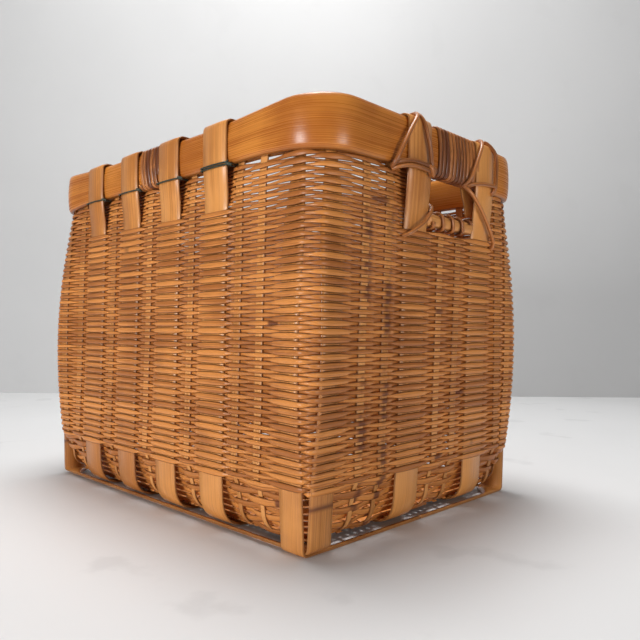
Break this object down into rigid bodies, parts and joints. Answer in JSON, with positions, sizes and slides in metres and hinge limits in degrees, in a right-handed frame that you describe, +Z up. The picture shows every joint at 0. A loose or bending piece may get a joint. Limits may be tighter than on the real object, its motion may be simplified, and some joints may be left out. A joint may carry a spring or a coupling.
{
  "type": "woven bamboo carrying basket",
  "caption": "Open rectangular woven bamboo basket with wide bamboo straps, a split-bamboo rim and a cane-bound hand grip with an opening at each end.",
  "frame": {"origin": "on the floor under the middle of the basket", "axes": "+X along the long side towards the end with the grip that the picture shows, +Y across the basket away from the picture's left-hand face, +Z up"},
  "size_m": [0.5246, 0.362, 0.4101],
  "materials": {
    "weave": "satin, split-bamboo weave aged to amber brown",
    "bamboo_strap": "satin, smooth bamboo skin",
    "stake": "matt, split bamboo",
    "rim_bamboo": "glossy, polished bamboo skin",
    "rattan": "satin, split cane",
    "wire": "dull dark iron wire"
  },
  "bodies": {
    "root": {"base_mat": "weave", "side_weave": "weave", "cross_strap_1": "bamboo_strap", "cross_strap_2": "bamboo_strap", "cross_strap_3": "bamboo_strap", "cross_strap_4": "bamboo_strap", "cross_strap_edge": "bamboo_strap", "length_strap_1": "bamboo_strap", "length_strap_2": "bamboo_strap", "length_strap_edge": "bamboo_strap", "stake_ends_front": "stake", "stake_ends_back": "stake", "stake_ends_left": "stake", "stake_ends_right": "stake", "rim_outer_band": "rim_bamboo", "rim_inner_band": "rim_bamboo", "rim_joint_winding": "rattan", "grip_winding_right": "rattan", "grip_winding_left": "rattan", "sill_bar_right": "stake", "sill_bar_left": "stake", "sill_winding_right": "rattan", "sill_winding_left": "rattan", "grip_lashing_right_near": "rattan", "grip_lashing_right_far": "rattan", "grip_lashing_left_near": "rattan", "grip_lashing_left_far": "rattan", "wire_ties_front": "wire", "wire_ties_back": "wire"}
  },
  "joints": []
}
